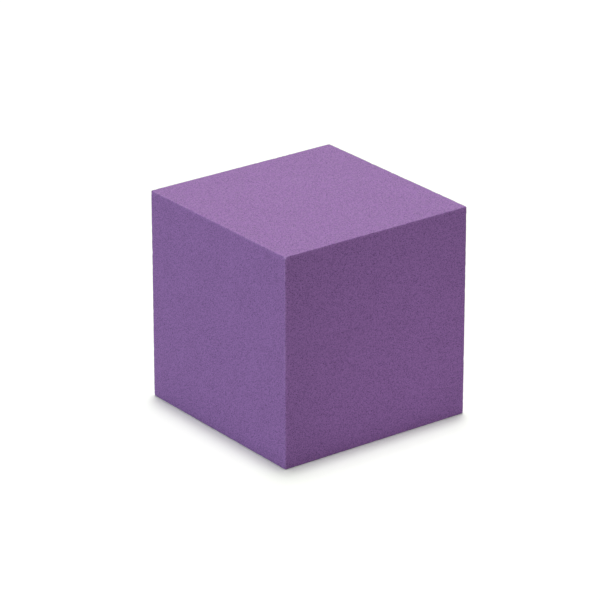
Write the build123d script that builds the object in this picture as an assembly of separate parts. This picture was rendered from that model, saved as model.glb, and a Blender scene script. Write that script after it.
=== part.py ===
from build123d import *
import os

# A floral foam brick of the cube kind: one block of rigid, open-cell phenolic foam.
#
# The block is sawn square on all six sides from a foamed bun, so it is the same foam right
# through, with no core, skin, insert or wrap. Flower stems are pushed straight into it, and
# it stands on its own flat bottom. Handling dulls the brittle sawn edges to a small radius.
#
# Frame: the origin is the centre of the bottom face, +Z is up, the front face looks along
# -Y, and the two sides look along -X and +X. Sizes are in millimetres.

# Driving sizes. Each can be changed by itself.
block_width = 100.0  # X, from the left face to the right face
block_depth = 100.0  # Y, from the front face to the back face
block_height = 100.0  # Z, from the bottom face to the top face
edge_radius = 0.5  # what handling leaves of the twelve sawn edges


def foam_block():
    """The sawn block, standing on the origin, with its twelve edges dulled."""
    sawn = Box(
        block_width,
        block_depth,
        block_height,
        align=(Align.CENTER, Align.CENTER, Align.MIN),
    )
    return fillet(sawn.edges(), edge_radius)


def write_parts(parts):
    """One STEP file for each piece, named after the piece."""
    os.makedirs("parts", exist_ok=True)
    for name, shape in parts.items():
        export_step(shape, os.path.join("parts", f"{name}.step"))


write_parts({"foam_block": foam_block()})
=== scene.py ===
import math

import bpy
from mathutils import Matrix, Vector


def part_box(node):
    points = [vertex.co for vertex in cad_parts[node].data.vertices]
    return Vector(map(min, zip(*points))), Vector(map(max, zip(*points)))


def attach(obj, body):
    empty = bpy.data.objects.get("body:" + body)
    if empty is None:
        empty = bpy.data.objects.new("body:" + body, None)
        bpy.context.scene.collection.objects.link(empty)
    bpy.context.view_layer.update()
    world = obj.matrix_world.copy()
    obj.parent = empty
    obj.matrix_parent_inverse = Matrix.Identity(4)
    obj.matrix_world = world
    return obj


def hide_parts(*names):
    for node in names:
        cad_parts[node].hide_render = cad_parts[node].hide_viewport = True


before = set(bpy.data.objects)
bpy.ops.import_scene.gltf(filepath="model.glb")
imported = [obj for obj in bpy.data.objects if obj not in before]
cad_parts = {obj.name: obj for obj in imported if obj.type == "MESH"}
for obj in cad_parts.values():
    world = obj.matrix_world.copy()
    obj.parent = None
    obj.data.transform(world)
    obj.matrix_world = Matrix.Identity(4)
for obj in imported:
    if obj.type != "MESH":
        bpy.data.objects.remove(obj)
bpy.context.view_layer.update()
blockLow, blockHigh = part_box("foam_block")
blockSize = blockHigh - blockLow
blockCentre = (blockLow + blockHigh) / 2
print("frame loaded:", *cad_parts, [round(side, 4) for side in blockSize])

mm = 0.001


# helpers for node trees, where a value may also be another node's socket

def feed(tree, socket, value):
    if isinstance(value, bpy.types.NodeSocket):
        tree.links.new(value, socket)
    else:
        socket.default_value = value


def addNode(tree, kind, inputs=None, **settings):
    # settings are the node's own properties, and inputs go by the names of its sockets
    made = tree.nodes.new(kind)
    for name, value in settings.items():
        setattr(made, name, value)
    for name, value in (inputs or {}).items():
        feed(tree, made.inputs[name], value)
    return made


def calc(tree, operation, *values, clamp=False):
    made = addNode(tree, "ShaderNodeMath", operation=operation, use_clamp=clamp)
    for socket, value in zip(made.inputs, values):
        feed(tree, socket, value)
    return made.outputs["Value"]


def vecCalc(tree, operation, *values):
    made = addNode(tree, "ShaderNodeVectorMath", operation=operation)
    for socket, value in zip(made.inputs, values):
        feed(tree, socket, value)
    return made.outputs["Value" if operation == "DISTANCE" else "Vector"]


def scaled(tree, vector, factor):
    return addNode(tree, "ShaderNodeVectorMath", {"Vector": vector, "Scale": factor},
                   operation="SCALE").outputs["Vector"]


def combined(tree, x, y, z):
    return addNode(tree, "ShaderNodeCombineXYZ", {"X": x, "Y": y, "Z": z}).outputs["Vector"]


def separated(tree, vector):
    return addNode(tree, "ShaderNodeSeparateXYZ", {"Vector": vector}).outputs


def eased(tree, value, start, end, atStart, atEnd):
    # goes smoothly from atStart to atEnd while the value goes from start to end
    return addNode(tree, "ShaderNodeMapRange",
                   {"Value": value, "From Min": start, "From Max": end,
                    "To Min": atStart, "To Max": atEnd},
                   interpolation_type="SMOOTHSTEP").outputs["Result"]


def noise(tree, vector, scale, detail=1.0):
    # soft noise about 0.5, with patches about 1 / scale metres across
    return addNode(tree, "ShaderNodeTexNoise",
                   {"Vector": vector, "Scale": scale, "Detail": detail},
                   noise_dimensions="3D").outputs["Fac"]


def mixedColor(tree, share, first, second):
    # the colours share their names with other sockets of this node, so they go by number
    made = addNode(tree, "ShaderNodeMix", {"Factor": share}, data_type="RGBA")
    feed(tree, made.inputs[6], first)
    feed(tree, made.inputs[7], second)
    return made.outputs[2]


def addSockets(tree, inputs, outputs):
    for name, kind, default in inputs:
        socket = tree.interface.new_socket(name, in_out="INPUT", socket_type=kind)
        if default is not None:
            socket.default_value = default
    for name, kind in outputs:
        tree.interface.new_socket(name, in_out="OUTPUT", socket_type=kind)


# the violet foam, which is the finish of the whole block
foamFinish = {
    "wallColor": (0.335, 0.152, 0.449, 1.0),  # the pale walls between open cells
    "poreShadeColor": (0.050, 0.013, 0.083, 1.0),  # painted shade: how dark a cut cell looks down inside, where the light is trapped
    "dustAndHighlightColor": (0.370, 0.210, 0.460, 1.0),  # crushed foam on a worn edge, and on the bruised corner also a painted highlight where the blunt corner catches the light from above
    "powderAndSheenColor": (0.76, 0.68, 0.705, 1.0),  # finer dust on what faces up, and with it a painted sheen that makes the top paler
    # each layer's depth is how far it goes from the wall colour towards the pore colour
    "fineCells": {"size": 0.62 * mm, "open": 0.45, "depth": 0.60},
    "coarseCells": {"size": 1.0 * mm, "open": 0.35, "depth": 0.05},
    "cellSquash": (1.0, 1.0, 1.3),  # the foam has settled, so its cells lie a little flat
    "cellTurn": (0.52, 0.37, 0.83),  # turned, so the saw cuts the cells alike on every side
    "mottle": {"size": 16 * mm, "detail": 2.0, "middle": 0.5, "depth": 0.10},
    "grit": {"size": 0.5 * mm, "detail": 1.0, "middle": 0.3, "depth": 0.75},
    # these come in patches, with the least share where the noise is under start and the most
    # where it is over end
    "edgeDust": {"size": 1.4 * mm, "start": 0.35, "end": 0.7, "least": 0.0, "most": 0.5},
    "powderAndSheen": {"size": 1.2 * mm, "start": 0.3, "end": 0.7, "least": 0.025, "most": 0.072},
    "roughness": 0.92,
    "sheen": 0.1,  # the broken cell walls catch a little light at a low angle
    "sheenRoughness": 0.5,
    "bumpStrength": 0.3,
    "bumpDepth": 0.12 * mm,
}


def cutCellsGroup():
    # one size of cut cell: how deep in a pore a point is, from 0 on a wall to 1.25 at most
    bottomWidth = 0.10  # half the width of a pore's bottom, in cells
    leastWidth = 0.25  # half the width of its rim, to which the open share is added
    leastCut = 0.25  # how deep the shallowest pores are
    tree = bpy.data.node_groups.new("cutCells", "ShaderNodeTree")
    addSockets(tree,
               [("Vector", "NodeSocketVector", None),
                ("Cell Size", "NodeSocketFloat", 0.5 * mm),
                ("Open Share", "NodeSocketFloat", 0.5)],
               [("Pore", "NodeSocketFloat")])
    inside = tree.nodes.new("NodeGroupInput").outputs
    cells = addNode(tree, "ShaderNodeTexVoronoi",
                    {"Vector": inside["Vector"],
                     "Scale": calc(tree, "DIVIDE", 1.0, inside["Cell Size"])},
                    voronoi_dimensions="3D", feature="F1").outputs
    rimWidth = calc(tree, "ADD", leastWidth, inside["Open Share"])
    pore = eased(tree, cells["Distance"], bottomWidth, rimWidth, 1.0, 0.0)
    # each cell is cut at its own height, so some pores are deep and some are shallow
    cutHeight = addNode(tree, "ShaderNodeSeparateColor", {"Color": cells["Color"]}).outputs["Red"]
    depth = calc(tree, "MULTIPLY", pore, calc(tree, "ADD", leastCut, cutHeight))
    addNode(tree, "NodeGroupOutput", {"Pore": depth})
    return tree


def makeFoamMaterial(finish):
    material = bpy.data.materials.new("violetFoam")
    material.use_nodes = True
    tree = material.node_tree
    tree.nodes.clear()
    place = tree.nodes.new("ShaderNodeTexCoord").outputs["Object"]
    cellPlace = addNode(tree, "ShaderNodeMapping",
                        {"Vector": place, "Scale": finish["cellSquash"],
                         "Rotation": finish["cellTurn"]}).outputs["Vector"]
    cutCells = cutCellsGroup()

    def cells(layer):
        pore = addNode(tree, "ShaderNodeGroup",
                       {"Vector": cellPlace, "Cell Size": layer["size"],
                        "Open Share": layer["open"]}, node_tree=cutCells).outputs["Pore"]
        return calc(tree, "MULTIPLY", pore, layer["depth"])

    def lighterAndDarker(layer):
        swing = calc(tree, "SUBTRACT", noise(tree, place, 1 / layer["size"], layer["detail"]),
                     layer["middle"])
        return calc(tree, "MULTIPLY", swing, layer["depth"])

    def patches(layer):
        return eased(tree, noise(tree, place, 1 / layer["size"]),
                     layer["start"], layer["end"], layer["least"], layer["most"])

    def mark(name):
        # read from the block's mesh, where the block's own tree stores it
        return addNode(tree, "ShaderNodeAttribute", attribute_name=name).outputs["Fac"]

    # the open cells go darker towards the pore colour, which is painted shade for the light
    # trapped in them
    pores = calc(tree, "ADD", cells(finish["fineCells"]), cells(finish["coarseCells"]), clamp=True)
    mottled = calc(tree, "ADD", pores, lighterAndDarker(finish["mottle"]))
    openness = calc(tree, "ADD", mottled, lighterAndDarker(finish["grit"]), clamp=True)
    foamColor = mixedColor(tree, openness, finish["wallColor"], finish["poreShadeColor"])

    # pale crushed foam on the worn edges, and on the bruised corner a painted highlight as well
    edgeDust = calc(tree, "MULTIPLY", mark("edgeWear"), patches(finish["edgeDust"]))
    dustAndHighlight = calc(tree, "ADD", mark("bruise"), edgeDust, clamp=True)
    wornAndHighlightColor = mixedColor(tree, dustAndHighlight, foamColor, finish["dustAndHighlightColor"])

    # pale powder on what faces up, and with it a painted sheen that lightens the top
    powderAndSheen = calc(tree, "MULTIPLY", mark("facesUp"), patches(finish["powderAndSheen"]))
    dustAndSheenColor = mixedColor(tree, powderAndSheen, wornAndHighlightColor, finish["powderAndSheenColor"])

    bump = addNode(tree, "ShaderNodeBump",
                   {"Height": pores, "Strength": finish["bumpStrength"],
                    "Distance": finish["bumpDepth"]}, invert=True)
    surface = addNode(tree, "ShaderNodeBsdfPrincipled",
                      {"Base Color": dustAndSheenColor, "Roughness": finish["roughness"],
                       "Sheen Weight": finish["sheen"],
                       "Sheen Roughness": finish["sheenRoughness"],
                       "Normal": bump.outputs["Normal"]})
    addNode(tree, "ShaderNodeOutputMaterial", {"Surface": surface.outputs["BSDF"]})
    print("foam finish mixed")
    return material


# the foam block, sawn square, with its edges dulled and crumbled by handling
foamBlock = {
    "Width": blockSize.x,
    "Depth": blockSize.y,
    "Height": blockSize.z,
    "Grid Lines": 129,
    "Edge Crowding": 0.09,  # how far the grid lines are drawn towards the edges
    "Edge Radius": 0.32 * mm,
    "Radius Change": 0.5,  # how much the radius swings along an edge, as a share of it
    "Corner Wear": 0.15 * mm,  # added to the radius at a corner
    "Corner Reach": 3.0 * mm,
    "Bruised Corner": (-1.0, -1.0, 1.0),  # one corner has been knocked blunt
    "Bruise Radius": 0.8 * mm,  # added to the radius there
    "Bruise Reach": 1.9 * mm,
    "Crumb Depth": 0.16 * mm,
    "Crumb Size": 2.4 * mm,
    "Crumb Reach": 1.3 * mm,
    "Crumb Start": 0.50,  # noise over this loses crumbs
    "Crumb Full": 0.78,  # and noise over this loses the whole depth
    "Saw Wave": 0.03 * mm,
    "Saw Wave Length": 32 * mm,  # the radius comes and goes over the same length
    "Cell Relief": 0.02 * mm,
    "Cell Relief Size": 1.9 * mm,
    "Powder And Sheen Start": 0.60,  # the powder and painted sheen begin where a normal's upward part is over this
    "Powder And Sheen Full": 0.95,  # and are full over this, on what is nearly level
    "Seed": 7,
}


def edgeCrowdingGroup():
    # moves a grid line at -1 to 1 outwards, so that the lines crowd together at both ends
    narrowness = 8.0  # the higher, the nearer the ends they crowd
    tree = bpy.data.node_groups.new("crowdToEdges", "GeometryNodeTree")
    addSockets(tree,
               [("Line", "NodeSocketFloat", 0.0), ("Crowding", "NodeSocketFloat", 0.0)],
               [("Line", "NodeSocketFloat")])
    inside = tree.nodes.new("NodeGroupInput").outputs
    line, crowding = inside["Line"], inside["Crowding"]
    pushed = calc(tree, "MULTIPLY", line, calc(tree, "ADD", 1.0, crowding))
    steep = calc(tree, "MULTIPLY", line,
                 calc(tree, "POWER", calc(tree, "ABSOLUTE", line), narrowness))
    moved = calc(tree, "SUBTRACT", pushed, calc(tree, "MULTIPLY", steep, crowding))
    addNode(tree, "NodeGroupOutput", {"Line": moved})
    return tree


def squareBlock(tree, sizes, half):
    # a gridded cube, and where its points go to make the square block, centred on itself
    lines = sizes["Grid Lines"]
    grid = addNode(tree, "GeometryNodeMeshCube",
                   {"Size": (2.0, 2.0, 2.0), "Vertices X": lines, "Vertices Y": lines,
                    "Vertices Z": lines})
    gridPlace = separated(tree, tree.nodes.new("GeometryNodeInputPosition").outputs["Position"])
    crowdToEdges = edgeCrowdingGroup()
    crowded = tree.nodes.new("ShaderNodeCombineXYZ")
    for axis in "XYZ":
        pull = addNode(tree, "GeometryNodeGroup",
                       {"Line": gridPlace[axis], "Crowding": sizes["Edge Crowding"]},
                       node_tree=crowdToEdges)
        feed(tree, crowded.inputs[axis], pull.outputs["Line"])
    return grid.outputs["Mesh"], vecCalc(tree, "MULTIPLY", crowded.outputs["Vector"], half)


def gapsToEdges(tree, square, half):
    # how far a point is from its nearest edge, and from its nearest corner
    gaps = separated(tree, vecCalc(tree, "SUBTRACT", half, vecCalc(tree, "ABSOLUTE", square)))
    cornerGap = calc(tree, "MAXIMUM", calc(tree, "MAXIMUM", gaps["X"], gaps["Y"]), gaps["Z"])
    gapSum = calc(tree, "ADD", calc(tree, "ADD", gaps["X"], gaps["Y"]), gaps["Z"])
    return calc(tree, "SUBTRACT", gapSum, cornerGap), cornerGap


def foamBlockTree(settings):
    tree = bpy.data.node_groups.new("foamBlock", "GeometryNodeTree")
    kinds = {int: "NodeSocketInt", float: "NodeSocketFloat", tuple: "NodeSocketVector"}
    addSockets(tree,
               [(name, kinds[type(value)], None) for name, value in settings.items()]
               + [("Finish", "NodeSocketMaterial", None)],
               [("Geometry", "NodeSocketGeometry")])
    sizes = tree.nodes.new("NodeGroupInput").outputs
    half = scaled(tree, combined(tree, sizes["Width"], sizes["Depth"], sizes["Height"]), 0.5)
    mesh, square = squareBlock(tree, sizes, half)
    edgeGap, cornerGap = gapsToEdges(tree, square, half)
    seeded = vecCalc(tree, "ADD", square, combined(tree, sizes["Seed"], 0.0, 0.0))

    def lumps(name):
        # soft noise about 0.5, whose patches have the size that the named input gives
        return noise(tree, seeded, calc(tree, "DIVIDE", 1.0, sizes[name]))

    # the edges roll over with a radius that comes and goes, and grows towards the corners
    slowWave = lumps("Saw Wave Length")
    change = calc(tree, "MULTIPLY", sizes["Radius Change"],
                  calc(tree, "SUBTRACT", slowWave, 0.5))
    bruisePlace = vecCalc(tree, "MULTIPLY", half, sizes["Bruised Corner"])
    bruise = eased(tree, vecCalc(tree, "DISTANCE", square, bruisePlace),
                   0.0, sizes["Bruise Reach"], 1.0, 0.0)
    blunted = calc(tree, "ADD",
                   eased(tree, cornerGap, 0.0, sizes["Corner Reach"], sizes["Corner Wear"], 0.0),
                   calc(tree, "MULTIPLY", bruise, sizes["Bruise Radius"]))
    radius = calc(tree, "ADD", blunted,
                  calc(tree, "MULTIPLY", sizes["Edge Radius"], calc(tree, "ADD", 1.0, change)))
    core = vecCalc(tree, "SUBTRACT", half, combined(tree, radius, radius, radius))
    inner = vecCalc(tree, "MAXIMUM", vecCalc(tree, "MINIMUM", square, core),
                    scaled(tree, core, -1.0))
    outward = vecCalc(tree, "NORMALIZE", vecCalc(tree, "SUBTRACT", square, inner))
    rolled = vecCalc(tree, "ADD", inner, scaled(tree, outward, radius))

    # crumbs lost from the edges, the saw's slow wave and the relief of the cells, all inwards
    nearEdge = eased(tree, edgeGap, 0.0, sizes["Crumb Reach"], 1.0, 0.0)
    lost = eased(tree, lumps("Crumb Size"), sizes["Crumb Start"], sizes["Crumb Full"], 0.0, 1.0)
    crumb = calc(tree, "MULTIPLY", calc(tree, "MULTIPLY", lost, nearEdge), sizes["Crumb Depth"])
    sawWave = calc(tree, "MULTIPLY", slowWave, sizes["Saw Wave"])
    relief = calc(tree, "MULTIPLY", lumps("Cell Relief Size"), sizes["Cell Relief"])
    depth = calc(tree, "ADD", calc(tree, "ADD", crumb, sawWave), relief)
    worn = vecCalc(tree, "SUBTRACT", rolled, scaled(tree, outward, depth))

    # marks on the mesh, which the finish reads
    facesUp = eased(tree, separated(tree, outward)["Z"],
                    sizes["Powder And Sheen Start"], sizes["Powder And Sheen Full"], 0.0, 1.0)
    for name, value in (("edgeWear", nearEdge), ("bruise", bruise), ("facesUp", facesUp)):
        mesh = addNode(tree, "GeometryNodeStoreNamedAttribute",
                       {"Geometry": mesh, "Name": name, "Value": value},
                       data_type="FLOAT", domain="POINT").outputs["Geometry"]

    # up onto the surface that the block stands on
    lift = combined(tree, 0.0, 0.0, calc(tree, "MULTIPLY", sizes["Height"], 0.5))
    placed = addNode(tree, "GeometryNodeSetPosition",
                     {"Geometry": mesh, "Position": vecCalc(tree, "ADD", worn, lift)})
    smooth = addNode(tree, "GeometryNodeSetShadeSmooth", {"Geometry": placed.outputs["Geometry"]})
    real = addNode(tree, "GeometryNodeRealizeInstances", {"Geometry": smooth.outputs["Geometry"]})
    finished = addNode(tree, "GeometryNodeSetMaterial",
                       {"Geometry": real.outputs["Geometry"], "Material": sizes["Finish"]})
    addNode(tree, "NodeGroupOutput", {"Geometry": finished.outputs["Geometry"]})
    return tree


def growMesh(name, tree, values):
    # runs the tree on an empty object and keeps the result as a plain mesh
    host = bpy.data.objects.new(name + "Host", bpy.data.meshes.new(name + "Host"))
    bpy.context.scene.collection.objects.link(host)
    modifier = host.modifiers.new(name, "NODES")
    modifier.node_group = tree
    for item in tree.interface.items_tree:
        if item.item_type == "SOCKET" and item.in_out == "INPUT":
            modifier[item.identifier] = values[item.name]
    depsgraph = bpy.context.evaluated_depsgraph_get()
    mesh = bpy.data.meshes.new_from_object(host.evaluated_get(depsgraph))
    host.modifiers.remove(modifier)
    bpy.data.objects.remove(host)
    mesh.name = name
    return mesh


def unfoldSides(mesh):
    # lays the six sawn sides out flat in one map, three across and two up
    margin = 0.01  # left free along each edge of a side, as a share of its square
    layer = mesh.uv_layers.new(name="OFBake")
    for face in mesh.polygons:
        normal = face.normal
        axis = max(range(3), key=lambda k: abs(normal[k]))
        across, up = [(1, 2), (0, 2), (0, 1)][axis]
        row = 0 if normal[axis] < 0 else 1
        for corner in face.loop_indices:
            place = mesh.vertices[mesh.loops[corner].vertex_index].co - blockCentre
            u = place[across] / blockSize[across] + 0.5
            v = place[up] / blockSize[up] + 0.5
            layer.data[corner].uv = ((axis + margin + u * (1 - 2 * margin)) / 3,
                                     (row + margin + v * (1 - 2 * margin)) / 2)


def makeFoamBlock():
    values = dict(foamBlock, Finish=makeFoamMaterial(foamFinish))
    mesh = growMesh("foamBlock", foamBlockTree(foamBlock), values)
    unfoldSides(mesh)
    block = bpy.data.objects.new("foam_block_sawn", mesh)
    bpy.context.scene.collection.objects.link(block)
    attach(block, "root")
    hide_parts("foam_block")
    print("foam block:", len(mesh.vertices), "points,", len(mesh.polygons), "faces")


# a white floor, flat and far wider than the view
studioFloor = {
    "reach": 12.0,
    "drop": 0.02 * mm,  # how far it lies under the block, so that the two don't touch
    "pale": (0.63, 0.63, 0.63, 1.0),  # what it gives back to the block
    # what the camera sees: white where no shadow falls, and a shade green, which takes the
    # violet of the block out of the shadow
    "seen": (1.03, 1.055, 0.984, 1.0),
}


def seenDirectly(tree):
    # 1 for camera, glossy and transmission rays, and 0 for the light that reaches the block
    rays = tree.nodes.new("ShaderNodeLightPath").outputs
    cameraOrGlossy = calc(tree, "ADD", rays["Is Camera Ray"], rays["Is Glossy Ray"])
    return calc(tree, "ADD", cameraOrGlossy, rays["Is Transmission Ray"], clamp=True)


def layFloor():
    material = bpy.data.materials.new("whiteFloor")
    material.use_nodes = True
    tree = material.node_tree
    tree.nodes.clear()
    pale = addNode(tree, "ShaderNodeBsdfDiffuse", {"Color": studioFloor["pale"]})
    seen = addNode(tree, "ShaderNodeBsdfDiffuse", {"Color": studioFloor["seen"]})
    either = addNode(tree, "ShaderNodeMixShader", {"Fac": seenDirectly(tree)})
    feed(tree, either.inputs[1], pale.outputs["BSDF"])
    feed(tree, either.inputs[2], seen.outputs["BSDF"])
    addNode(tree, "ShaderNodeOutputMaterial", {"Surface": either.outputs["Shader"]})

    reach = studioFloor["reach"]
    z = blockLow.z - studioFloor["drop"]
    corners = [(-reach, -reach, z), (reach, -reach, z), (reach, reach, z), (-reach, reach, z)]
    mesh = bpy.data.meshes.new("floor")
    mesh.from_pydata(corners, [], [(0, 1, 2, 3)])
    mesh.materials.append(material)
    floor = bpy.data.objects.new("floor", mesh)
    bpy.context.scene.collection.objects.link(floor)
    print("floor laid")


# soft light from above, with low fills that reach the sides and hardly the floor
studioLight = {
    # a sun's level is how bright it alone makes a white surface that faces it, its spread is
    # how wide its disc is, its turn is counted from +X towards +Y, and its rise from the floor
    "suns": {
        "key": {"level": 0.556, "spread": 8, "turn": 46, "rise": 88},
        "backKey": {"level": 0.229, "spread": 10, "turn": 52, "rise": 81},
        "leftFill": {"level": 0.418, "spread": 16, "turn": 180, "rise": 4.5,
                     "color": (0.766, 1.0, 0.981)},
        "backFill": {"level": 0.26, "spread": 4, "turn": 25, "rise": 2},
    },
    # a small panel, whose place and aim are counted from the middle of the front side's foot
    "rightPanel": {"power": 0.0257, "side": 0.02, "place": (0.015, -0.125, 0.013),
                   "aim": (0.030, 0.0, 0.016)},
    "skyLight": 0.230,  # what the sky gives to the block
    "skySeen": 1.0,  # what the camera sees of it, which is white
}


def towards(turn, rise):
    # the direction with this turn and rise, in degrees
    turn, rise = math.radians(turn), math.radians(rise)
    return Vector((math.cos(turn) * math.cos(rise), math.sin(turn) * math.cos(rise),
                   math.sin(rise)))


def hangLamp(name, kind, power, shines):
    # a lamp that shines along the given direction
    lamp = bpy.data.objects.new(name, bpy.data.lights.new(name, kind))
    lamp.data.energy = power
    lamp.rotation_mode = "QUATERNION"
    lamp.rotation_quaternion = shines.to_track_quat("-Z", "Y")
    bpy.context.scene.collection.objects.link(lamp)
    return lamp


def paintSky():
    world = bpy.data.worlds.new("studioSky")
    bpy.context.scene.world = world
    world.use_nodes = True
    tree = world.node_tree
    tree.nodes.clear()
    strength = addNode(tree, "ShaderNodeMapRange",
                       {"Value": seenDirectly(tree), "To Min": studioLight["skyLight"],
                        "To Max": studioLight["skySeen"]})
    sky = addNode(tree, "ShaderNodeBackground",
                  {"Color": (1.0, 1.0, 1.0, 1.0), "Strength": strength.outputs["Result"]})
    addNode(tree, "ShaderNodeOutputWorld", {"Surface": sky.outputs["Background"]})


def lightStudio():
    for name, sun in studioLight["suns"].items():
        lamp = hangLamp(name, "SUN", sun["level"] * math.pi, -towards(sun["turn"], sun["rise"]))
        lamp.data.angle = math.radians(sun["spread"])
        lamp.data.color = sun.get("color", (1.0, 1.0, 1.0))

    panel = studioLight["rightPanel"]
    place, aim = Vector(panel["place"]), Vector(panel["aim"])
    lamp = hangLamp("rightPanel", "AREA", panel["power"], aim - place)
    lamp.data.size = panel["side"]
    lamp.location = Vector((blockCentre.x, blockLow.y, blockLow.z)) + place
    lamp.visible_camera = False

    paintSky()
    print("studio lit")


# the camera looks at the left and front sides and down on the top, from well away
cameraStand = {
    "turn": -36.909,  # degrees round from straight in front
    "rise": 22.577,
    "distance": 1.6822,
    "aimRight": -0.00356,  # how far beside and above the middle of the block it looks
    "aimUp": 0.00110,
    "lens": 225.18,
}


def placeCamera():
    back = towards(cameraStand["turn"] - 90, cameraStand["rise"])
    right = towards(cameraStand["turn"], 0)
    aim = (blockCentre + right * cameraStand["aimRight"]
           + back.cross(right) * cameraStand["aimUp"])
    camera = bpy.data.objects.new("camera", bpy.data.cameras.new("camera"))
    camera.data.lens = cameraStand["lens"]
    camera.rotation_mode = "QUATERNION"
    camera.rotation_quaternion = (-back).to_track_quat("-Z", "Y")
    camera.location = aim + back * cameraStand["distance"]
    bpy.context.scene.collection.objects.link(camera)
    bpy.context.scene.camera = camera
    print("camera placed")


bpy.context.scene.view_settings.view_transform = "Standard"
placeCamera()
makeFoamBlock()
layFloor()
lightStudio()
